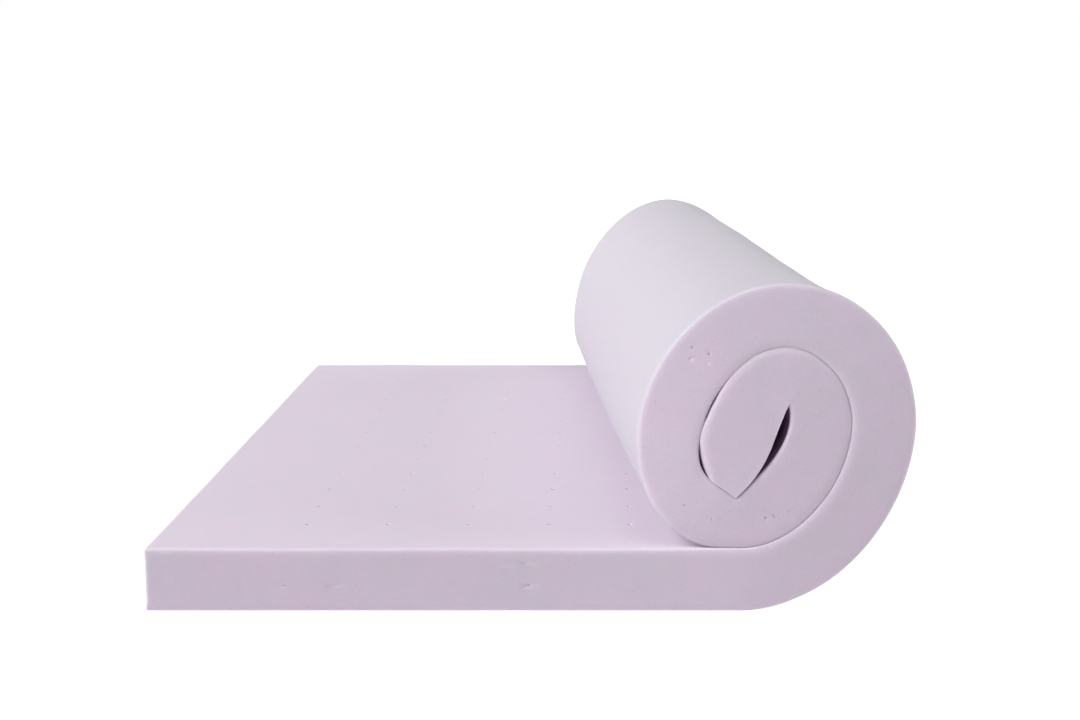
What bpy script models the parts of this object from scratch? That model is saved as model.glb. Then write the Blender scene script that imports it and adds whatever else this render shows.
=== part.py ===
"""Mattress topper: one foam slab with vent holes, lying flat at one end and rolled up at the other.

The slab's length runs along X, its width along Y and its thickness along Z. The free cut end is at
the left, the roll at the right. Seen from the front the slab bends up, goes once round and lands on
itself, then goes on inside the first turn until its cut end is caught in the middle of the roll.
"Across" runs over the slab's width, from 0 at the front cut face to 1 at the back one.
"""

from collections import namedtuple
import math

import bmesh
import bpy
from mathutils import Vector

# The slab as it is cut, 75 by 54 by 3 inches
LENGTH = 1.905
WIDTH = 1.3716
THICKNESS = 0.0762
UNDERSIDE_RISE = 0.00015  # a hair's lift midway along the flat run, so that it bears on its two ends

# First turn: radius of its outer face where that face heads in each direction, in degrees
Bend = namedtuple("Bend", "heading front_radius back_radius")
FIRST_TURN = (
    Bend(0, 0.1465, 0.086),
    Bend(60, 0.2595, 0.178),
    Bend(120, 0.1595, 0.262),
    Bend(180, 0.138, 0.090),
    Bend(240, 0.2185, 0.256),
    Bend(300, 0.122, 0.090),
    Bend(360, 0.071, 0.078),
)
SKEW_SHAPE = 0.84  # under 1, the roll leaves its front shape fastest near the front

# Foam of the first turn, and the space between it and the turn inside it
Layer = namedtuple("Layer", "heading foam space")
LAYERS = (
    Layer(0, 0.0762, 0.0015),
    Layer(45, 0.0752, 0.0008),
    Layer(92, 0.0726, 0.0008),
    Layer(135, 0.0760, 0.0008),
    Layer(205, 0.0745, 0.0008),
    Layer(238, 0.0781, 0.0024),
    Layer(260, 0.0760, 0.0008),
    Layer(285, 0.0730, 0.0045),
    Layer(318, 0.0738, 0.0010),
)
CAUGHT_END = 318  # the heading past which the second turn's cut end is squeezed into a wedge
HEADING_STEP = 6

# The cut end's tip and the fold above it, from the roll's outermost left, right and top
TIP_FROM_LEFT = 0.1175
TIP_HEIGHT = 0.1385
FOLD_FROM_RIGHT = 0.1505
FOLD_FROM_TOP = 0.145
TIP_SPACE = Vector((0.0004, -0.0016))

# The slit between tip and fold: how far each wall bows to the right, and towards which end
Wall = namedtuple("Wall", "bow skew steps")
LEFT_WALL = Wall(0.0090, 1.40, 8)
RIGHT_WALL = Wall(0.0175, 0.85, 8)

# The outer face draws in behind the front cut face, where the free rim swells
RIM_SWELL = 0.010
RIM_REACH = 0.05

# Towards the back the roll's weight squeezes its heel outwards on the slab
HEEL_SQUEEZE = 0.015
HEEL_HEADINGS = (255, 315)

# Where the section is worked out, from front to back
STATIONS = (0, 0.02, 0.05, 0.1, 0.2, 0.4, 0.6, 0.8, 1)

# Vent holes in the flat run, in rows along the slab
VENT_DIAMETER = 0.005
VENT_DEPTH = 0.015
VENT_SIDES = 8
FIRST_VENT_FROM_END = 0.1775
FIRST_VENT_FROM_FRONT = 0.121
VENT_PITCH_ALONG = 0.1016
VENT_PITCH_ACROSS = 0.098
VENT_ROWS = 12
VENT_TO_ROLL = 0.012  # least distance from a vent's middle to where the roll lies on the slab

FOAM_COLOUR = (0.66, 0.56, 0.68, 1.0)
FOAM_ROUGHNESS = 0.85
CREASE_ANGLE = 40  # edges sharper than this stay sharp in the shading


def read_off(table, column, heading):
    """A column's value at a heading, on straight lines between the rows."""
    for low, high in zip(table, table[1:]):
        if heading <= high.heading:
            share = (heading - low.heading) / (high.heading - low.heading)
            return getattr(low, column) * (1 - share) + getattr(high, column) * share
    return getattr(table[-1], column)


def left_of(heading, distance):
    """A step to the left of a heading, which on the slab is into the foam."""
    angle = math.radians(heading)
    return Vector((-math.sin(angle), math.cos(angle))) * distance


def first_turn(across):
    """Headings and points of the first turn's outer face, from the start of the bend at 0, 0."""
    headings = [HEADING_STEP * step for step in range(360 // HEADING_STEP + 1)]
    skewed = across**SKEW_SHAPE
    points = [Vector((0, 0))]
    for low, high in zip(headings, headings[1:]):
        halfway = (low + high) / 2
        front = read_off(FIRST_TURN, "front_radius", halfway)
        back = read_off(FIRST_TURN, "back_radius", halfway)
        arc = (front * (1 - skewed) + back * skewed) * math.radians(high - low)
        points.append(points[-1] - left_of(halfway + 90, arc))
    # the turn ends on the slab, the space between layers above it
    miss = THICKNESS + LAYERS[0].space - points[-1].y
    for heading, point in zip(headings, points):
        point.y += miss * (heading / 360) ** 2
    return headings, points


def wound_length(headings, points):
    """Length of the slab's middle line from the start of the bend to the caught end."""
    steps = [(b - a).length for a, b in zip(points, points[1:])]
    once = sum(steps) - math.radians(360) * THICKNESS / 2
    landed = -points[-1].x
    second = sum(steps[: headings.index(CAUGHT_END)])
    second -= math.radians(CAUGHT_END) * (THICKNESS * 1.5 + LAYERS[0].space)
    return once + landed + second


def rim_drop(across, heading):
    """How far the outer face lies inside the front rim's, none where it rests on something."""
    behind = (1 - math.exp(-across / RIM_REACH)) * (1 - across)
    return RIM_SWELL * behind * (1 - math.cos(math.radians(heading / 2)) ** 4)


def heel_squeeze(across, heading):
    """How far the outer face stands out to the left near the slab."""
    start, full = HEEL_HEADINGS
    share = min(max((heading - start) / (full - start), 0), 1)
    return HEEL_SQUEEZE * across**SKEW_SHAPE * share * share * (3 - 2 * share)


def outer_face(across, headings, turn):
    points = []
    for heading, point in zip(headings, turn):
        drop = left_of(heading, rim_drop(across, heading))
        points.append(point + drop - Vector((heel_squeeze(across, heading), 0)))
    return points


def slit_wall(wall, tip, fold):
    """Points from the fold to the tip along one wall of the slit, both ends left out."""
    run = tip - fold
    across = Vector((-run.y, run.x)).normalized()
    points = []
    for step in range(1, wall.steps):
        share = step / wall.steps
        bow = wall.bow * math.sin(math.pi * share**wall.skew)
        points.append(fold + run * share + across * bow)
    return points


def section(across):
    """Outline of the rolled slab at one place across its width, and where the roll lands on it."""
    headings, turn = first_turn(across)
    flat = LENGTH - wound_length(headings, turn)
    turn = [point + Vector((flat, 0)) for point in turn]

    outside = outer_face(across, headings, turn)
    inside, second = [], []
    for heading, point in zip(headings, turn):
        if heading <= CAUGHT_END:
            foam = read_off(LAYERS, "foam", heading)
            space = read_off(LAYERS, "space", heading)
            inside.append(point + left_of(heading, foam))
            second.append(point + left_of(heading, foam + space))

    left = min(point.x for point in turn[len(turn) // 2 :])
    right = max(point.x for point in turn)
    top = max(point.y for point in turn)
    tip = Vector((left + TIP_FROM_LEFT, TIP_HEIGHT))
    fold = Vector((right - FOLD_FROM_RIGHT, top - FOLD_FROM_TOP))

    outline = [Vector((0, 0)), Vector((flat / 2, UNDERSIDE_RISE))] + outside + second
    outline += [tip] + slit_wall(LEFT_WALL, tip, fold)[::-1]
    outline += [fold] + slit_wall(RIGHT_WALL, tip + TIP_SPACE, fold)
    outline += [tip + TIP_SPACE] + inside[::-1] + [Vector((0, THICKNESS))]
    return outline, outside[-1].x


def make_slab():
    """The slab as one closed solid, its sections joined from front to back."""
    sections = [section(across)[0] for across in STATIONS]
    middle = max(point.x for outline in sections for point in outline) / 2
    bm = bmesh.new()
    rings = []
    for across, outline in zip(STATIONS, sections):
        y = (across - 0.5) * WIDTH
        rings.append([bm.verts.new((point.x - middle, y, point.y)) for point in outline])
    for near, far in zip(rings, rings[1:]):
        for i in range(len(near)):
            bm.faces.new((near[i - 1], near[i], far[i], far[i - 1]))
    bm.faces.new(rings[0])
    bm.faces.new(rings[-1][::-1])
    bmesh.ops.recalc_face_normals(bm, faces=bm.faces)
    mesh = bpy.data.meshes.new("foam_slab")
    bm.to_mesh(mesh)
    bm.free()
    return mesh, middle


def make_vent_cutters(middle):
    """One mesh of upright rods, a rod for each vent that the roll leaves in the open."""
    bm = bmesh.new()
    for row in range(VENT_ROWS):
        from_front = FIRST_VENT_FROM_FRONT + VENT_PITCH_ACROSS * row
        landing = section(from_front / WIDTH)[1]
        along = FIRST_VENT_FROM_END
        while along < landing - VENT_TO_ROLL:
            rod = bmesh.ops.create_cone(
                bm,
                cap_ends=True,
                segments=VENT_SIDES,
                radius1=VENT_DIAMETER / 2,
                radius2=VENT_DIAMETER / 2,
                depth=VENT_DEPTH * 2,
            )
            place = Vector((along - middle, from_front - WIDTH / 2, THICKNESS))
            bmesh.ops.translate(bm, verts=rod["verts"], vec=place)
            along += VENT_PITCH_ALONG
    mesh = bpy.data.meshes.new("vent_rods")
    bm.to_mesh(mesh)
    bm.free()
    return mesh


def make_foam():
    material = bpy.data.materials.new("foam")
    material.use_nodes = True
    shader = material.node_tree.nodes["Principled BSDF"]
    shader.inputs["Base Color"].default_value = FOAM_COLOUR
    shader.inputs["Roughness"].default_value = FOAM_ROUGHNESS
    shader.inputs["Metallic"].default_value = 0.0
    return material


def main():
    for thing in list(bpy.data.objects):
        bpy.data.objects.remove(thing, do_unlink=True)

    slab_mesh, middle = make_slab()
    slab = bpy.data.objects.new("foam_slab", slab_mesh)
    slab.data.materials.append(make_foam())
    bpy.context.collection.objects.link(slab)
    slab.data.shade_smooth()
    slab.data.set_sharp_from_angle(angle=math.radians(CREASE_ANGLE))

    rods = bpy.data.objects.new("vent_rods", make_vent_cutters(middle))
    rods.display_type = "WIRE"
    rods.hide_render = True
    bpy.context.collection.objects.link(rods)
    vents = slab.modifiers.new("vents", "BOOLEAN")
    vents.operation = "DIFFERENCE"
    vents.solver = "EXACT"
    vents.object = rods


main()
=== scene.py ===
import math
import random

import bmesh
import bpy
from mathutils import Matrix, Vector, noise


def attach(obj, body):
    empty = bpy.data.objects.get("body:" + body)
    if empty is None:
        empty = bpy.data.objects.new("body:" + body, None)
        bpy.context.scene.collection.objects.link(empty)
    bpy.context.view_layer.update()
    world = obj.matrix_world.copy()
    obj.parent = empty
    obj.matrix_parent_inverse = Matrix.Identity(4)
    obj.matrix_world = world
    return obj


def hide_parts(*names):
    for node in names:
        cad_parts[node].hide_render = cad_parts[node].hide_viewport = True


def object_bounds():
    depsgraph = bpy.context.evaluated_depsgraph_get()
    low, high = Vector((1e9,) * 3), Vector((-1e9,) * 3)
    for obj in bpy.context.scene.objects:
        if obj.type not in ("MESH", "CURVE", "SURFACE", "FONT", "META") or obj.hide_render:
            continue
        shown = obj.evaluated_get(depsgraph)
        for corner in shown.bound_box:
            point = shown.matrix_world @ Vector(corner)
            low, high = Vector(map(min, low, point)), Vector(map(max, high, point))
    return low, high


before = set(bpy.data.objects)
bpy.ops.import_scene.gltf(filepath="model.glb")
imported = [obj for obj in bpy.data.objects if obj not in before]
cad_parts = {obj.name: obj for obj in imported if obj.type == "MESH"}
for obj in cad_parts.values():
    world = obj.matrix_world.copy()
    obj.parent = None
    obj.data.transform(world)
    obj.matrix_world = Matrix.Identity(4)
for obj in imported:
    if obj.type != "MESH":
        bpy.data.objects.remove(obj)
cadLow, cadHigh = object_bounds()
print("frame loaded, box", tuple(cadLow), tuple(cadHigh))


slab = {  # the foam as it is cut, in metres
    "length": 1.905,
    "width": 1.3716,
    "thickness": 0.0762,
    "edgeRound": 0.004,
    "edgeSteps": 5,
    "edgeMargin": 0.0075,  # first line of points in from a cut edge
    "lowEdge": 0.35,  # share of the rounding that the edges on the floor have
    "topEdge": 0.75,  # the share of the sleeping face's edges
    "lowEdgeTo": 30,  # steps into the roll over which the low edges get their full rounding
    "pressedEdge": (0.06, 0.90),  # its depth and width where layers press against each other
    "slitEdge": (0.6, 4),  # what the slit's left wall loses of it, and over how many steps
    "shoulder": (0.0015, 0.0024),  # how far the cut faces fall back to a free and a pressed edge
    "shoulderReach": 0.0105,
    "shoulderSteps": (24, 6),  # the underside has none before the second, its full one at the first
    "squeezedMargin": 0.3,  # the margin's share of the foam where that is squeezed thin
    "flatStep": 0.034,  # points this far apart on the flat run
    "acrossStep": 0.034,
    "frontRows": (0.015, 0.03, 0.05, 0.075),  # closer lines of points behind the front cut face
    "heightSteps": 8,
    "trueTo": 0.70,  # up to here rolling up the rest doesn't move a point along the slab
    "bendStarts": 0.7183,
}

turns = {  # radius of the first turn's outer face, by the heading of that face in degrees
    "heading": (0, 60, 120, 180, 240, 300, 360),
    "front": (0.1465, 0.2595, 0.1595, 0.138, 0.2185, 0.122, 0.071),
    "back": (0.086, 0.178, 0.262, 0.090, 0.256, 0.090, 0.078),
}

layers = {  # foam of the first turn and the space inside it, by heading
    "heading": (0, 45, 92, 135, 205, 226, 233, 243, 252, 258, 263, 268, 275, 286, 300, 312, 318),
    "foam": (
        0.0762, 0.0758, 0.0732, 0.0766, 0.0751, 0.0772, 0.0776, 0.0777, 0.0774,
        0.0770, 0.0763, 0.0752, 0.0741, 0.0731, 0.0738, 0.0744, 0.0746,
    ),
    "space": (
        0.0002, 0.0001, 0.0001, 0.0001, 0.0001, 0.0002, 0.0007, 0.0018, 0.0014,
        0.0004, 0.0001, 0.0004, 0.0020, 0.0030, 0.0015, 0.0002, 0.0001,
    ),
    "tight": (0.0004, 0.0020),  # rims are pressed up to the first space, free from the second
}

roll = {
    "headingStep": 3,
    "caughtEnd": 318,  # heading past which the cut end is squeezed into a wedge
    "foldAt": 150,  # heading of the second turn that faces the fold
    "meanSpace": 0.0015,
    "skewShape": 0.84,
    "tipFromLeft": 0.1175,
    "tipHeight": 0.1385,
    "foldFromRight": 0.1505,
    "foldFromTop": 0.145,
    "tipSpace": Vector((0.0001, -0.0002)),
    "leftWall": (0.0090, 1.40),  # bow and skew
    "rightWall": (0.0180, 0.72),
    "rimSwell": 0.010,
    "rimReach": 0.05,
    "heelSqueeze": 0.015,
    "heelHeadings": (255, 315),
    "pinch": 0.0035,  # how far the inner turn's rim draws back beside the gap at its left
    "pinchReach": 0.014,
    "pinchHeadings": (262, 280, 296, 312),
    "dish": (0.36, 0.20, 0.12),  # how hollow the ends of the roll are to its left, right and top
    "dishRises": (0.05, 0.16),  # on the left the hollow sets in between these heights
    "dishFull": 60,  # heading from which the dish is full
    # bent foam narrows where it stretches, so its cut faces lean, by a slope at each heading
    "leanHeading": (0, 25, 60, 120, 180, 220, 260, 300, 340, 360),
    "leanFirst": (0, 0.10, 0.09, 0.05, 0.06, 0.06, 0.14, 0.05, 0.03, 0.03),
    "leanSecond": (0.02, 0.02, 0.02, 0.02, 0.015, 0.03, 0.04, 0.03, 0.01, 0),
    # and each turn sits back by a few millimetres
    "backFirst": (0, 0, 0, 0, 0.001, 0.0025, 0.0045, 0.003, 0.001, 0.001),
    "backSecond": (0.001, 0.001, 0.0005, 0, 0, 0, 0, 0, 0, 0),
    # how far the first turn bulges past the plain winding, at its rims and between them
    "proudHeading": (0, 40, 90, 130, 170, 210, 250, 360),
    "proudFront": (0, 0.0020, 0.0060, 0.0032, 0.0016, 0.0010, 0, 0),
    "proudBehind": (0, 0.0005, 0.0040, 0.0065, 0.0060, 0.0035, 0, 0),
    "proudAcross": ((0.01, 0.12), (1.30, 0.85)),  # from the front, where one passes into the other
    "pressEase": 6,  # steps over which a free rim becomes a pressed one
    "turnEase": 8,  # the same for the wall of the slit
    "pressBefore": 0.06,  # and along the flat run, before the roll lands on it
    # where each finish and the painted shade of the slit show, in steps into the roll
    "sleepingTo": 4,
    "undersideTo": 118,
    "slitFrom": 120,
    "rolledInFrom": 0.02,  # faces this far from a cut are shut in between layers and get the painted shade
}

vents = {
    "diameter": 0.005,
    "depth": 0.015,
    "sides": 16,
    "fromEnd": 0.1775,
    "fromFront": 0.121,
    "pitchAlong": 0.1016,
    "pitchAcross": 0.098,
    "rows": 12,
    "toRoll": 0.012,
    "cell": 0.006,  # half the square of face that a vent sits in
    "rimRound": 0.0012,
    "rimSteps": ((0.25, 0.03), (0.35, 0.22), (0.3, 0.6), (0.1, 0.9)),  # inwards and down, of that
    "taper": 0.0001,
}

pores = {  # burst bubbles in the cut faces: distance along the slab, height, width
    "front": (
        (1.2668, 0.0324, 0.0030),
        (1.3932, 0.0324, 0.0030),
        (1.4059, 0.0267, 0.0020),
        (1.1195, 0.0210, 0.0016),
        (1.1214, 0.0438, 0.0015),
    ),
    "scattered": 26,
    "on": ("front", "back", "back", "end"),  # the cut faces drawn from
    "widths": (0.0012, 0.0026),
    "heights": (0.2, 0.8),  # shares of the thickness
    "along": (0.05, 0.95),  # shares of the cut face's length
    "uneven": (0.85, 1.15),
    "room": (0.65, 0.0003),  # to the face's border: a share of the width, and a little more
    "wallSteps": ((0.04, 0.05), (0.06, 0.3), (0.06, 0.3)),  # inwards and down, shares of the width
    "sides": 8,
    "seed": 11,
}

unevenness = {  # height, wave length and seed of the slab's slow swells, in metres
    "flat": (0.0006, 0.16, 3.1),
    "rolled": (0.0005, 0.14, 7.7),
    "cut": (0.0005, 0.07, 5.3),
    "end": (0.0005, 0.07, 9.4),
    "ripple": (0.5, 2.3),  # share of the height and times the frequency of the ripple on a swell
    "reach": 0.018,  # a swell dies away this far under the face
    "flatDies": (0.08, 0.02),  # and over this stretch before the roll lands on the flat run
    "rolledSteps": ((4, 16), (84, 96)),  # steps over which it comes and goes round the roll
}


def readOff(table, column, heading, against="heading"):
    for i in range(len(table[against]) - 1):
        low, high = table[against][i : i + 2]
        if heading <= high:
            share = (heading - low) / (high - low)
            return table[column][i] * (1 - share) + table[column][i + 1] * share
    return table[column][-1]


def smooth(low, high, value):
    # 0 at low, 1 at high, which may be the smaller one
    share = min(max((value - low) / (high - low), 0), 1)
    return share * share * (3 - 2 * share)


def leftOf(heading, distance):
    angle = math.radians(heading)
    return Vector((-math.sin(angle), math.cos(angle))) * distance


def firstTurn(across):
    # outer face of the first turn, a point at each heading
    skewed = across ** roll["skewShape"]
    step = roll["headingStep"]
    points = [Vector((0, 0))]
    for heading in range(0, 360, step):
        halfway = heading + step / 2
        front = readOff(turns, "front", halfway)
        back = readOff(turns, "back", halfway)
        arc = (front * (1 - skewed) + back * skewed) * math.radians(step)
        points.append(points[-1] - leftOf(halfway + 90, arc))
    miss = slab["thickness"] + layers["space"][0] - points[-1].y
    for i, point in enumerate(points):
        point.y += miss * (i * step / 360) ** 2
    return points


def woundLength(points):
    # middle line of the foam from the start of the bend to the caught end
    steps = [(b - a).length for a, b in zip(points, points[1:])]
    second = sum(steps[: roll["caughtEnd"] // roll["headingStep"]])
    second -= math.radians(roll["caughtEnd"]) * (slab["thickness"] * 1.5 + roll["meanSpace"])
    return sum(steps) - math.pi * slab["thickness"] - points[-1].x + second


def outerFace(across, turn):
    # the rim stands proud at the front, the heel is squeezed out towards the back
    behind = (1 - math.exp(-across / roll["rimReach"])) * (1 - across)
    points = []
    for i, point in enumerate(turn):
        heading = i * roll["headingStep"]
        drop = roll["rimSwell"] * behind * (1 - math.cos(math.radians(heading / 2)) ** 4)
        squeeze = across ** roll["skewShape"] * smooth(*roll["heelHeadings"], heading)
        points.append(point + leftOf(heading, drop) - Vector((roll["heelSqueeze"] * squeeze, 0)))
    return points


def slitWall(wall, tip, fold, steps):
    # from the fold to the tip, ends included
    bow, skew = wall
    run = tip - fold
    side = Vector((-run.y, run.x)).normalized()
    points = []
    for step in range(steps + 1):
        share = step / steps
        points.append(fold + run * share + side * bow * math.sin(math.pi * share**skew))
    return points


def evenly(points, steps):
    # the same line with its points spread evenly
    lengths = [(b - a).length for a, b in zip(points, points[1:])]
    spread, i, passed = [points[0]], 0, 0
    for step in range(1, steps):
        wanted = sum(lengths) * step / steps
        while passed + lengths[i] < wanted:
            passed += lengths[i]
            i += 1
        spread.append(points[i].lerp(points[i + 1], (wanted - passed) / lengths[i]))
    return spread + [points[-1]]


sections = {}


def section(across):
    # points of the slab's underside and sleeping face through the whole roll, paired one to one
    if across in sections:
        return sections[across]
    step = roll["headingStep"]
    turn = firstTurn(across)
    flat = slab["length"] - woundLength(turn)
    turn = [point + Vector((flat, 0)) for point in turn]
    outside = outerFace(across, turn)
    inside, second = [], []
    for i in range(roll["caughtEnd"] // step + 1):
        foam = readOff(layers, "foam", i * step)
        space = readOff(layers, "space", i * step)
        inside.append(turn[i] + leftOf(i * step, foam))
        second.append(turn[i] + leftOf(i * step, foam + space))

    left = min(point.x for point in turn[len(turn) // 2 :])
    right = max(point.x for point in turn)
    top = max(point.y for point in turn)
    tip = Vector((left + roll["tipFromLeft"], roll["tipHeight"]))
    fold = Vector((right - roll["foldFromRight"], top - roll["foldFromTop"]))

    caught, folded = len(inside) - 1, roll["foldAt"] // step
    landing = len(outside) - 1 - caught
    under = outside[:caught]
    over = inside[:caught]
    under += evenly(outside[caught:] + [second[0]], landing)[:-1]
    over += evenly([inside[-1], tip + roll["tipSpace"]], landing)[:-1]
    under += second[:folded]
    over += slitWall(roll["rightWall"], tip + roll["tipSpace"], fold, folded)[:0:-1]
    under += second[folded:]
    over += slitWall(roll["leftWall"], tip, fold, caught - folded)
    sections[across] = {
        "flat": flat,
        "landing": outside[-1].x,
        "middle": (left + right) / 2,
        "axle": top / 2,
        "under": under,
        "over": over,
    }
    return sections[across]


def ventPlaces():
    # vents that the roll leaves in the open, as distances from the free end and the front
    places = []
    for row in range(vents["rows"]):
        fromFront = vents["fromFront"] + vents["pitchAcross"] * row
        landing = section(fromFront / slab["width"])["landing"]
        along = vents["fromEnd"]
        while along < landing - vents["toRoll"]:
            places.append((along, fromFront))
            along += vents["pitchAlong"]
    return places


def stops(fixed, end, step):
    # the fixed places and evenly spread ones between them
    fixed = sorted({0, end, *fixed})
    places = []
    for low, high in zip(fixed, fixed[1:]):
        count = max(1, round((high - low) / step))
        places += [low + (high - low) * i / count for i in range(count)]
    return places + [end]


def rollSteps():
    return len(section(0)["under"]) - 1


def stepAt(heading):
    # the section's step at a heading, which counts on past 360 in the second turn
    return heading / roll["headingStep"]


def stepOf(along):
    # how far into the roll a place along the slab is, counted in the section's steps
    start = slab["bendStarts"]
    return (along - start) / (slab["length"] - start) * rollSteps()


def acrossAt(fromFront):
    return min(max(fromFront / slab["width"], 0), 1)


def leanOf(at, height):
    # how far in from its plain place a point of the roll leans
    heading, turn = at * roll["headingStep"], "First"
    if heading > 360:
        heading, turn = heading - 360, "Second"
    lean = readOff(roll, "lean" + turn, heading, "leanHeading") * (slab["thickness"] - height)
    return lean + readOff(roll, "back" + turn, heading, "leanHeading")


def depthOf(height, deep):
    # near a face a point keeps its true depth, and the foam between takes up the squeeze
    thickness = slab["thickness"]
    margin = min(slab["edgeMargin"], deep * slab["squeezedMargin"])
    if height < margin:
        return height
    if height > thickness - margin:
        return deep - (thickness - height)
    share = (height - margin) / (thickness - 2 * margin)
    return margin + share * (deep - 2 * margin)


def hollowOf(point, cut, at):
    # the ends of the roll are a little hollow
    left, right, top = roll["dish"]
    sideways, up = point.x - cut["middle"], point.y - cut["axle"]
    if sideways > 0:
        hollow = right * sideways**2
    else:
        hollow = left * sideways**2 * smooth(*roll["dishRises"], point.y)
    hollow += top * max(up, 0) ** 2
    return hollow * smooth(0, stepAt(roll["dishFull"]), at)


def placeOf(co):
    # where a point of the flat slab lies once the slab is rolled
    trueTo, start = slab["trueTo"], slab["bendStarts"]
    across = acrossAt(co.y)
    shift = Vector((cadLow.x, cadLow.y, 0))
    if co.x <= trueTo:
        return co + shift
    if co.x <= start:
        share = (co.x - trueTo) / (start - trueTo)
        along = trueTo + share * (section(round(across, 6))["flat"] - trueTo)
        return Vector((along, co.y, co.z)) + shift
    at = min(stepOf(co.x), rollSteps())
    i = min(int(at), rollSteps() - 1)
    # the section is taken where the point ends up, or leaning layers would cut into each other
    lean = leanOf(at, co.z)
    cut = section(round(acrossAt(co.y + lean * (1 - 2 * across)), 5))
    below = cut["under"][i].lerp(cut["under"][i + 1], at - i)
    above = cut["over"][i].lerp(cut["over"][i + 1], at - i)
    deep = (above - below).length
    point = below + (above - below) * (depthOf(co.z, deep) / deep)
    inwards = (hollowOf(point, cut, at) + lean) * (1 - 2 * across)
    return Vector((point.x, co.y + inwards, point.y)) + shift


def swell(co, kind):
    height, wave, seed = unevenness[kind]
    share, times = unevenness["ripple"]
    at = co / wave + Vector((seed, 0, 0))
    return height * (noise.noise(at) + share * noise.noise(at * times))


def pressedAt(co):
    # 1 where a rim lies tight against the next layer, 0 where it is free
    at, ease = stepOf(co.x), roll["pressEase"]
    caught, turned = stepAt(roll["caughtEnd"]), stepAt(360)
    fold = turned + stepAt(roll["foldAt"])
    heading = (at - turned if at > turned else at) * roll["headingStep"]
    space = readOff(layers, "space", min(max(heading, 0), roll["caughtEnd"]))
    tight = 1 - smooth(*layers["tight"], space)
    if co.z < slab["thickness"] / 2:
        return smooth(caught, caught + ease, at) if at < turned else tight
    if at < 0:
        return smooth(-roll["pressBefore"], 0, co.x - section(0)["landing"])
    if at < caught:
        return tight
    return 1 - smooth(turned, turned + roll["turnEase"], at) * smooth(fold + ease, fold, at)


def drawnIn(gap, share):
    # narrows an edge's rounding to a share of its width
    full, reach = slab["edgeRound"], slab["edgeMargin"]
    if gap >= reach:
        return gap
    if gap <= full:
        return gap * share
    return full * share + (gap - full) * (reach - full * share) / (reach - full)


def edged(co):
    # the edges aren't rounded alike: crisp on the floor, shallow where layers press together
    thickness, width, full = slab["thickness"], slab["width"], slab["edgeRound"]
    at = stepOf(co.x)
    pressed = pressedAt(co)
    deep, wide = (1 - (1 - share) * pressed for share in slab["pressedEdge"])
    low = slab["lowEdge"] + (1 - slab["lowEdge"]) * smooth(0, slab["lowEdgeTo"], at)
    if co.z < thickness / 2:
        share = low * deep + (1 - low * deep) * smooth(full, full * 3, co.z)
    else:
        share = 1 + (deep * slab["topEdge"] - 1) * smooth(full * 3, full, thickness - co.z)
    moved = co.copy()
    moved.z = drawnIn(co.z, low * wide)
    if co.z > thickness / 2:
        fold, (loss, ease) = stepAt(360 + roll["foldAt"]), slab["slitEdge"]
        crisp = 1 - loss * smooth(fold, fold + ease, at)
        moved.z = thickness - drawnIn(thickness - co.z, min(wide, crisp))
    moved.y = drawnIn(co.y, share) if co.y < width / 2 else width - drawnIn(width - co.y, share)
    if co.x < slab["edgeMargin"]:
        moved.x = drawnIn(co.x, share)
    return moved


def fallAt(co):
    # how far a cut face falls back towards its rims
    thickness, reach, at = slab["thickness"], slab["shoulderReach"], stepOf(co.x)
    gap = min(thickness - co.z, co.z + reach * smooth(*slab["shoulderSteps"], at))
    if co.z > thickness / 2:
        fold = stepAt(360 + roll["foldAt"])
        gap += reach * smooth(fold, fold + roll["pressEase"], at)
    free, pressed = slab["shoulder"]
    fall = (free + (pressed - free) * pressedAt(co)) * max(1 - gap / reach, 0) ** 2
    heading = (at - stepAt(360)) * roll["headingStep"]
    start, full, still, end = roll["pinchHeadings"]
    pinch = roll["pinch"] * smooth(start, full, heading) * smooth(end, still, heading)
    return fall + pinch * max(1 - co.z / roll["pinchReach"], 0) ** 2


def bulgeAt(co):
    # how far the first turn's outside stands proud of the plain winding
    heading = stepOf(co.x) * roll["headingStep"]
    front = readOff(roll, "proudFront", heading, "proudHeading")
    behind = readOff(roll, "proudBehind", heading, "proudHeading")
    comes, goes = roll["proudAcross"]
    return front + (behind - front) * (smooth(*comes, co.y) * smooth(*goes, co.y))


def swollen(co):
    # the slab's faces aren't quite flat; where layers of the roll touch they stay true
    length, width, thickness = slab["length"], slab["width"], slab["thickness"]
    reach, at = unevenness["reach"], stepOf(co.x)
    landing = section(round(acrossAt(co.y), 6))["landing"]
    before, after = unevenness["flatDies"]
    comes, goes = unevenness["rolledSteps"]
    upper = 1 - smooth(landing - before, landing - after, co.x)
    upper *= smooth(thickness - reach, thickness - reach / 3, co.z)
    low = smooth(reach, reach / 3, co.z)
    moved = edged(co)
    moved.z += swell(co, "flat") * upper
    moved.z += swell(co, "rolled") * smooth(*comes, at) * (1 - smooth(*goes, at)) * low
    if 0 < at < stepAt(360):
        moved.z -= bulgeAt(co) * low
    fall = fallAt(co)
    for gap, inwards in ((co.y, 1), (width - co.y, -1)):
        moved.y += (swell(co, "cut") + inwards * fall) * smooth(reach, reach / 3, gap)
    for gap in (co.x, length - co.x):
        moved.x += swell(co, "end") * smooth(reach, reach / 3, gap)
    return moved


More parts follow.
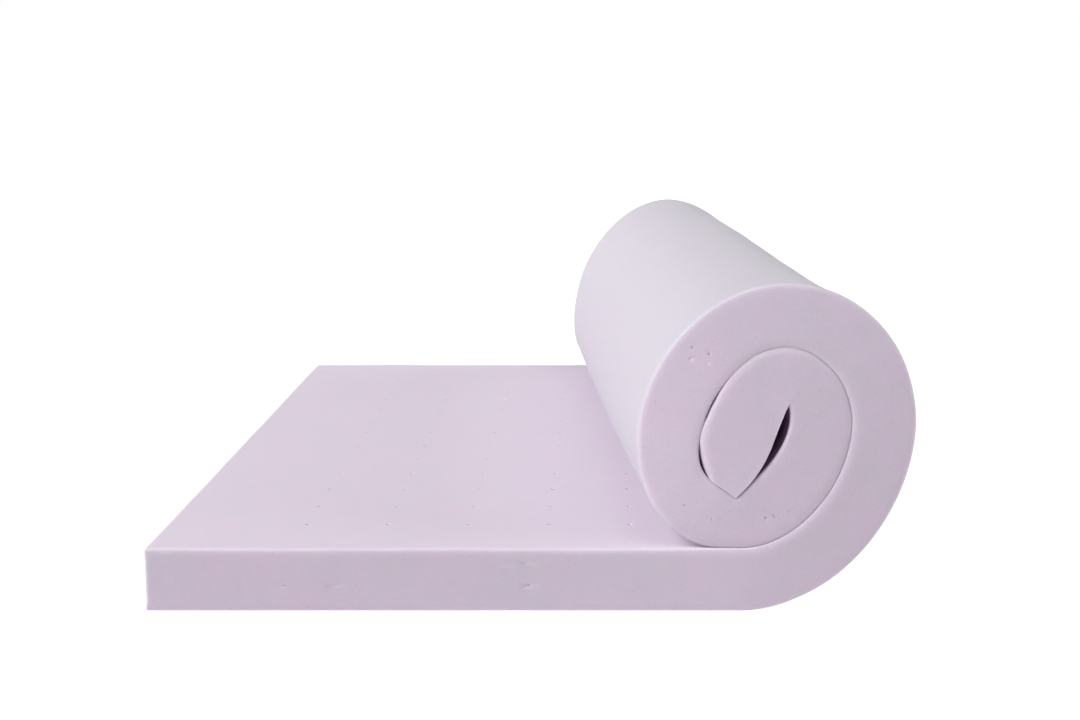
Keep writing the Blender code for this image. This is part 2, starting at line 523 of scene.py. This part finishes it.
def sinkPits(bm, faces, spots, width, sides, steps, wobble=None):
    # each face gets a round mouth about its spot, then sinks in steps of (inwards, down)
    bmesh.ops.inset_individual(bm, faces=faces, thickness=width / 10)
    edges = [edge for face in faces for edge in face.edges]
    bmesh.ops.subdivide_edges(bm, edges=edges, cuts=sides // 4 - 1)
    many = [face for face in bm.faces if len(face.verts) == sides]
    mouths = []
    for spot in spots:
        mouths.append(min(many, key=lambda face: (face.calc_center_median() - spot).length))
    for mouth, spot in zip(mouths, spots):
        for v in mouth.verts:
            uneven = wobble.uniform(*pores["uneven"]) if wobble else 1
            v.co = spot + (v.co - spot).normalized() * width / 2 * uneven
    for inwards, down in steps:
        bmesh.ops.inset_individual(bm, faces=mouths, thickness=inwards, depth=-down)


def punchVents(bm, places):
    spots = [Vector((along, fromFront, slab["thickness"])) for along, fromFront in places]
    wanted = {(round(spot.x, 4), round(spot.y, 4)) for spot in spots}
    faces = []
    for face in bm.faces:
        middle = face.calc_center_median()
        if face.normal.z > 0.9 and (round(middle.x, 4), round(middle.y, 4)) in wanted:
            faces.append(face)
    rim = vents["rimRound"]
    steps = [(rim * inwards, rim * down) for inwards, down in vents["rimSteps"]]
    steps.append((vents["taper"], vents["depth"] - sum(down for _, down in steps)))
    sinkPits(bm, faces, spots, vents["diameter"] + 2 * rim, vents["sides"], steps)
    print("vents punched", len(faces))


def spansOf(face):
    # the face's least and greatest x, y and z
    corners = [v.co for v in face.verts]
    return [(min(c[k] for c in corners), max(c[k] for c in corners)) for k in range(3)]


def faceAt(bm, spot, normal):
    # the face that holds a spot on one of the slab's sides
    near = 1e-6
    for face in bm.faces:
        if len(face.verts) == 4 and face.normal.dot(normal) > 0.99:
            spans = spansOf(face)
            if all(low - near <= spot[k] <= high + near for k, (low, high) in enumerate(spans)):
                return face
    return None


def drawPores():
    # the stated pores on the front cut face, and a few scattered over all cut faces
    draw = random.Random(pores["seed"])
    length, width, thickness = slab["length"], slab["width"], slab["thickness"]
    wanted = []
    for along, height, size in pores["front"]:
        wanted.append((Vector((along, 0, height)), (0, -1, 0), size))
    for _ in range(pores["scattered"]):
        height = draw.uniform(*pores["heights"]) * thickness
        size = draw.uniform(*pores["widths"])
        side, share = draw.choice(pores["on"]), draw.uniform(*pores["along"])
        if side == "end":
            wanted.append((Vector((0, share * width, height)), (-1, 0, 0), size))
        elif side == "back":
            wanted.append((Vector((share * length, width, height)), (0, 1, 0), size))
        else:
            wanted.append((Vector((share * length, 0, height)), (0, -1, 0), size))
    return wanted, draw


def openPores(bm):
    wanted, draw = drawPores()
    opened = 0
    for spot, normal, size in wanted:
        face = faceAt(bm, spot, Vector(normal))
        if face is None:
            continue
        share, more = pores["room"]
        room = size * share + more
        for k, (low, high) in enumerate(spansOf(face)):
            if not normal[k]:
                low, high = low + room, high - room
                spot[k] = min(max(spot[k], low), high) if low < high else (low + high) / 2
        steps = [(size * inwards, size * down) for inwards, down in pores["wallSteps"]]
        sinkPits(bm, [face], [spot], size, pores["sides"], steps, draw)
        opened += 1
    print("pores opened", opened)


def flatSlab(places):
    # a grid thickened to the slab, with lines of points where vents and the bend need them
    margin, cell, start = slab["edgeMargin"], vents["cell"], slab["bendStarts"]
    length, width, thickness = slab["length"], slab["width"], slab["thickness"]
    alongs = {margin, slab["trueTo"], start}
    alongs |= {along + side * cell for along, _ in places for side in (-1, 1)}
    acrosses = {margin, *slab["frontRows"], width - margin}
    acrosses |= {fromFront + side * cell for _, fromFront in places for side in (-1, 1)}
    columns, steps = stops(alongs, start, slab["flatStep"]), rollSteps()
    columns += [start + (length - start) * step / steps for step in range(1, steps + 1)]
    rows = stops(acrosses, width, slab["acrossStep"])

    bm = bmesh.new()
    bmesh.ops.create_grid(bm, x_segments=len(columns) - 1, y_segments=len(rows) - 1, size=0.5)
    for v in bm.verts:
        column = round((v.co.x + 0.5) * (len(columns) - 1))
        row = round((v.co.y + 0.5) * (len(rows) - 1))
        v.co = (columns[column], rows[row], thickness)
    bmesh.ops.solidify(bm, geom=bm.faces[:], thickness=thickness)
    bmesh.ops.recalc_face_normals(bm, faces=bm.faces[:])
    print("slab corners", min(v.co.z for v in bm.verts), max(v.co.z for v in bm.verts))

    shoulder = slab["shoulderReach"]
    fixed = {margin, shoulder, margin * 2}
    fixed |= {thickness - margin * 2, thickness - shoulder, thickness - margin}
    for height in stops(fixed, thickness, thickness / slab["heightSteps"])[1:-1]:
        geom = bm.verts[:] + bm.edges[:] + bm.faces[:]
        bmesh.ops.bisect_plane(bm, geom=geom, plane_co=(0, 0, height), plane_no=(0, 0, 1))
    return bm


def softenEdges(bm):
    length, width, thickness = slab["length"], slab["width"], slab["thickness"]
    corners = [e for e in bm.edges if e.is_manifold and e.calc_face_angle() > math.radians(60)]
    bmesh.ops.bevel(
        bm,
        geom=corners,
        offset=slab["edgeRound"],
        segments=slab["edgeSteps"],
        profile=0.5,
        affect="EDGES",
        clamp_overlap=False,
        material=-1,
    )
    bm.normal_update()
    # cutEdge marks the points on the rounded edges, where the foam gets its painted highlight
    cutEdge = bm.verts.layers.float.new("cutEdge")
    near = slab["edgeRound"] + 0.0002
    for v in bm.verts:
        gaps = (v.co.x, length - v.co.x, v.co.y, width - v.co.y, v.co.z, thickness - v.co.z)
        v[cutEdge] = float(sum(gap < near for gap in gaps) > 1)


finishesAndShade = ("sleepingFace", "underside", "cutFace", "paintedShadeRolledIn")  # in the order of their slots; the last is painted shade, not a finish


def giveFinishesAndShade(bm):
    for face in bm.faces:
        middle = face.calc_center_median()
        at, fromCut = stepOf(middle.x), min(middle.y, slab["width"] - middle.y)
        inSlit = face.normal.z > 0.99 and at > roll["slitFrom"] and fromCut > slab["edgeRound"]
        shutIn = abs(face.normal.z) > 0.99 and fromCut > roll["rolledInFrom"]
        face.material_index = finishesAndShade.index("cutFace")
        if face.normal.z > 0.7 and at < roll["sleepingTo"]:
            face.material_index = finishesAndShade.index("sleepingFace")
        elif face.normal.z < -0.7 and at < roll["undersideTo"]:
            face.material_index = finishesAndShade.index("underside")
        # faces in the slit and those shut in between layers get the dark colour of painted shade
        elif inSlit or shutIn:
            face.material_index = finishesAndShade.index("paintedShadeRolledIn")
        face.smooth = True


def makeSlab():
    # flat first, then rolled up point by point
    places = ventPlaces()
    bm = flatSlab(places)
    softenEdges(bm)
    giveFinishesAndShade(bm)
    punchVents(bm, places)
    openPores(bm)
    for v in bm.verts:
        v.co = placeOf(swollen(v.co))

    mesh = bpy.data.meshes.new("foamTopper")
    bm.to_mesh(mesh)
    bm.free()
    topper = bpy.data.objects.new("foamTopper", mesh)
    bpy.context.collection.objects.link(topper)
    mesh.set_sharp_from_angle(angle=math.radians(60))
    return topper


topper = makeSlab()
print("slab rolled up,", len(topper.data.polygons), "faces")


foam = {  # colours are linear, lengths in metres
    "sleepingFace": (0.685, 0.600, 0.700, 1),
    "underside": (0.540, 0.508, 0.567, 1),
    "cutFace": (0.636, 0.549, 0.648, 1),
    "paintedShadeRolledIn": (0.25, 0.11, 0.28, 1),  # painted shade: a dark colour for faces pressed layer on layer and in the slit, where hardly any light gets
    "rosy": (1.03, 0.985, 1.02, 1),  # the dye takes unevenly
    "bluish": (0.97, 1.0, 1.0, 1),
    "poreShade": (0.62, 0.56, 0.62, 1),
    "cellWidth": 0.0013,
    "cellWalls": (0.15, 0.75),
    "openPoreEvery": 0.0045,
    "openPoreEdge": (0.16, 0.08),
    "openPoreShare": (0.55, 0.9),  # only cells whose random red passes these are burst
    "dyeWidth": 0.055,
    "spread": (0.3, 0.7),  # the part of a noise's range that is used
    "highlightColour": (0.85, 0.80, 0.86, 1),  # painted highlight: the paler colour of the rounded rims
    # how much of the painted highlight is mixed in, and how far apart its patches are
    "highlightShare": 0.12,
    "highlightPatchEvery": 1 / 30,
    "reliefDepth": 0.3,  # share of a cell's width
    "roughness": (0.86, 0.96),
    "sheen": 0.1,
    "glowDepth": 0.0035,  # how far light soaks into the foam
    "glow": 0.4,
    "glowTint": (1.0, 0.85, 1.0),
}

texture = {  # how strongly each face shows its cells, open pores, uneven dye and relief
    "sleepingFace": {"cells": 0.05, "pores": 0.25, "dye": 0.6, "relief": 0.25},
    "underside": {"cells": 0.04, "pores": 0.2, "dye": 0.5, "relief": 0.25},
    "cutFace": {"cells": 0.12, "pores": 0.8, "dye": 0.9, "relief": 0.5},
    "paintedShadeRolledIn": {"cells": 0.05, "pores": 0.2, "dye": 0.5, "relief": 0.25},
}


def newGroup(name, inputs, outputs):
    group = bpy.data.node_groups.new(name, "ShaderNodeTree")
    for kind, label in inputs:
        group.interface.new_socket(label, in_out="INPUT", socket_type=kind)
    for kind, label in outputs:
        group.interface.new_socket(label, in_out="OUTPUT", socket_type=kind)
    return group, group.nodes.new("NodeGroupInput"), group.nodes.new("NodeGroupOutput")


def mapRange(nodes, links, value, fromLow, fromHigh, toLow=0, toHigh=1):
    node = nodes.new("ShaderNodeMapRange")
    labels = ("From Min", "From Max", "To Min", "To Max")
    for label, number in zip(labels, (fromLow, fromHigh, toLow, toHigh)):
        node.inputs[label].default_value = number
    links.new(value, node.inputs["Value"])
    return node.outputs["Result"]


def scaled(nodes, links, value, times, operation="MULTIPLY"):
    node = nodes.new("ShaderNodeMath")
    node.operation = operation
    links.new(value, node.inputs[0])
    if isinstance(times, (int, float)):
        node.inputs[1].default_value = times
    else:
        links.new(times, node.inputs[1])
    return node.outputs["Value"]


def makeFoamCells():
    # open-cell foam: fine cells, a few burst ones, and dye that took unevenly
    group, given, out = newGroup(
        "foamCells",
        [("NodeSocketVector", "Vector")],
        [("NodeSocketFloat", label) for label in ("Cells", "Pores", "Dye", "Relief")],
    )
    nodes, links = group.nodes, group.links

    cells = nodes.new("ShaderNodeTexVoronoi")
    cells.inputs["Scale"].default_value = 1 / foam["cellWidth"]
    links.new(given.outputs["Vector"], cells.inputs["Vector"])
    walls = mapRange(nodes, links, cells.outputs["Distance"], *foam["cellWalls"])
    links.new(walls, out.inputs["Cells"])

    bubbles = nodes.new("ShaderNodeTexVoronoi")
    bubbles.inputs["Scale"].default_value = 1 / foam["openPoreEvery"]
    links.new(given.outputs["Vector"], bubbles.inputs["Vector"])
    depth = mapRange(nodes, links, bubbles.outputs["Distance"], *foam["openPoreEdge"])
    tint = nodes.new("ShaderNodeSeparateColor")
    links.new(bubbles.outputs["Color"], tint.inputs["Color"])
    burst = mapRange(nodes, links, tint.outputs["Red"], *foam["openPoreShare"])
    holes = scaled(nodes, links, depth, burst)
    links.new(holes, out.inputs["Pores"])

    slow = nodes.new("ShaderNodeTexNoise")
    slow.inputs["Scale"].default_value = 1 / foam["dyeWidth"]
    slow.inputs["Detail"].default_value = 3
    links.new(given.outputs["Vector"], slow.inputs["Vector"])
    links.new(mapRange(nodes, links, slow.outputs["Fac"], *foam["spread"]), out.inputs["Dye"])

    grain = nodes.new("ShaderNodeTexNoise")
    grain.inputs["Scale"].default_value = 1 / (foam["cellWidth"] * 3)
    grain.inputs["Detail"].default_value = 2
    links.new(given.outputs["Vector"], grain.inputs["Vector"])
    raised = scaled(nodes, links, walls, scaled(nodes, links, grain.outputs["Fac"], 0.8), "ADD")
    relief = scaled(nodes, links, raised, scaled(nodes, links, holes, 1.6), "SUBTRACT")
    links.new(relief, out.inputs["Relief"])
    return group


def makePaintedEdgeHighlight():
    # the rounded rims of the cut faces, painted lighter in uneven patches as a highlight
    group, given, out = newGroup(
        "paintedEdgeHighlight", [("NodeSocketVector", "Vector")], [("NodeSocketFloat", "Highlight")]
    )
    nodes, links = group.nodes, group.links
    edge = nodes.new("ShaderNodeAttribute")
    edge.attribute_name = "cutEdge"
    patches = nodes.new("ShaderNodeTexNoise")
    patches.inputs["Scale"].default_value = 1 / foam["highlightPatchEvery"]
    links.new(given.outputs["Vector"], patches.inputs["Vector"])
    uneven = mapRange(nodes, links, patches.outputs["Fac"], *foam["spread"], 0.5, 1)
    links.new(scaled(nodes, links, edge.outputs["Fac"], uneven), out.inputs["Highlight"])
    return group


def mixed(nodes, links, factor, first, second, blend="MIX"):
    node = nodes.new("ShaderNodeMix")
    node.data_type = "RGBA"
    node.blend_type = blend
    for value, label in ((factor, "Factor"), (first, "A"), (second, "B")):
        socket = node.inputs[label]
        if isinstance(value, bpy.types.NodeSocket):
            links.new(value, socket)
        else:
            socket.default_value = value
    return node.outputs["Result"]


foamCells, paintedEdgeHighlight = makeFoamCells(), makePaintedEdgeHighlight()


def makeFoam(name):
    material = bpy.data.materials.new(name)
    material.use_nodes = True
    nodes, links = material.node_tree.nodes, material.node_tree.links
    shader, shows = nodes["Principled BSDF"], texture[name]
    place = nodes.new("ShaderNodeTexCoord")
    cells, edge = nodes.new("ShaderNodeGroup"), nodes.new("ShaderNodeGroup")
    cells.node_tree, edge.node_tree = foamCells, paintedEdgeHighlight
    links.new(place.outputs["Object"], cells.inputs["Vector"])
    links.new(place.outputs["Object"], edge.inputs["Vector"])

    dye = mixed(nodes, links, cells.outputs["Dye"], foam["bluish"], foam["rosy"])
    colour = mixed(nodes, links, shows["dye"], foam[name], dye, "MULTIPLY")
    darker = scaled(nodes, links, cells.outputs["Cells"], shows["cells"])
    colour = mixed(nodes, links, darker, colour, foam["poreShade"], "MULTIPLY")
    holes = scaled(nodes, links, cells.outputs["Pores"], shows["pores"])
    colour = mixed(nodes, links, holes, colour, foam["poreShade"], "MULTIPLY")
    # painted highlight on the rounded rims
    highlighted = scaled(nodes, links, edge.outputs["Highlight"], foam["highlightShare"])
    colour = mixed(nodes, links, highlighted, colour, foam["highlightColour"])
    links.new(colour, shader.inputs["Base Color"])
    rough = mapRange(nodes, links, cells.outputs["Cells"], 0, 1, *foam["roughness"])
    links.new(rough, shader.inputs["Roughness"])

    bump = nodes.new("ShaderNodeBump")
    bump.inputs["Strength"].default_value = shows["relief"]
    bump.inputs["Distance"].default_value = foam["cellWidth"] * foam["reliefDepth"]
    links.new(cells.outputs["Relief"], bump.inputs["Height"])
    links.new(bump.outputs["Normal"], shader.inputs["Normal"])
    shader.inputs["Sheen Weight"].default_value = foam["sheen"]
    shader.inputs["Subsurface Weight"].default_value = foam["glow"]
    shader.inputs["Subsurface Radius"].default_value = foam["glowTint"]
    shader.inputs["Subsurface Scale"].default_value = foam["glowDepth"]
    return material


# one material per slot, the last of them painting shade
for finish in finishesAndShade:
    topper.data.materials.append(makeFoam(finish))
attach(topper, "root")
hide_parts("foam_slab")
print("foam finished")


studio = {
    "world": 0.0,
    "floorColour": (0.25, 0.25, 0.25, 1),
    "floorSeen": 0.88,  # how white the floor is to look at
    "floorGlow": 0.6,  # and how much light it throws back up
    "floorSize": 40,
    "floorGap": 0.0003,  # under the foam
    "floorRoughness": 0.9,
    "lampDistance": 3,  # a sun lights the same from anywhere
    "softness": 50,  # how wide each light looks, in degrees
}

lights = (  # name, azimuth and height of where it comes from, in degrees, strength
    ("window", 196, 36, 1.13),
    ("front", 300, 56, 0.30),
    ("lowRight", 0, 15, 0.55),
)

view = {
    "place": (0.091, -2.859, 0.655),
    "tilt": 9.13,  # degrees below level
    "lens": 62.25,
    "sensor": 36,
    "shift": -0.0593,
}


def makeWorld():
    world = bpy.data.worlds.new("studio")
    world.use_nodes = True
    nodes, links = world.node_tree.nodes, world.node_tree.links
    background = nodes["Background"]
    background.inputs["Color"].default_value = (1, 1, 1, 1)
    seen = nodes.new("ShaderNodeLightPath")
    strength = nodes.new("ShaderNodeMapRange")  # white to look at, dim as a light
    strength.inputs["To Min"].default_value = studio["world"]
    strength.inputs["To Max"].default_value = 1
    links.new(seen.outputs["Is Camera Ray"], strength.inputs["Value"])
    links.new(strength.outputs["Result"], background.inputs["Strength"])
    bpy.context.scene.world = world


def makeFloor():
    bm = bmesh.new()
    bmesh.ops.create_grid(bm, x_segments=1, y_segments=1, size=studio["floorSize"] / 2)
    mesh = bpy.data.meshes.new("floor")
    bm.to_mesh(mesh)
    bm.free()
    floor = bpy.data.objects.new("floor", mesh)
    floor.location.z = cadLow.z - studio["floorGap"]
    bpy.context.collection.objects.link(floor)
    material = bpy.data.materials.new("paleFloor")
    material.use_nodes = True
    nodes, links = material.node_tree.nodes, material.node_tree.links
    shader = nodes["Principled BSDF"]
    shader.inputs["Base Color"].default_value = studio["floorColour"]
    shader.inputs["Roughness"].default_value = studio["floorRoughness"]
    shader.inputs["Emission Color"].default_value = (1, 1, 1, 1)
    seen, glow = nodes.new("ShaderNodeLightPath"), nodes.new("ShaderNodeMapRange")
    glow.inputs["To Min"].default_value = studio["floorGlow"]
    glow.inputs["To Max"].default_value = studio["floorSeen"]
    links.new(seen.outputs["Is Camera Ray"], glow.inputs["Value"])
    links.new(glow.outputs["Result"], shader.inputs["Emission Strength"])
    mesh.materials.append(material)


def makeLights():
    for name, azimuth, height, strength in lights:
        lamp = bpy.data.lights.new(name, "SUN")
        lamp.angle = math.radians(studio["softness"])
        lamp.energy = math.pi * strength
        sun = bpy.data.objects.new(name, lamp)
        around, up = math.radians(azimuth), math.radians(height)
        level = math.cos(up)
        place = Vector((math.cos(around) * level, math.sin(around) * level, math.sin(up)))
        sun.location = place * studio["lampDistance"]
        sun.rotation_euler = place.to_track_quat("Z", "Y").to_euler()
        bpy.context.collection.objects.link(sun)


def makeCamera():
    lens = bpy.data.cameras.new("camera")
    lens.lens = view["lens"]
    lens.sensor_width = view["sensor"]
    lens.shift_x = view["shift"]
    camera = bpy.data.objects.new("camera", lens)
    camera.location = view["place"]
    camera.rotation_euler = (math.radians(90 - view["tilt"]), 0, 0)
    bpy.context.collection.objects.link(camera)
    bpy.context.scene.camera = camera


makeWorld()
makeFloor()
makeLights()
makeCamera()
bpy.context.scene.view_settings.view_transform = "Standard"
print("studio ready")
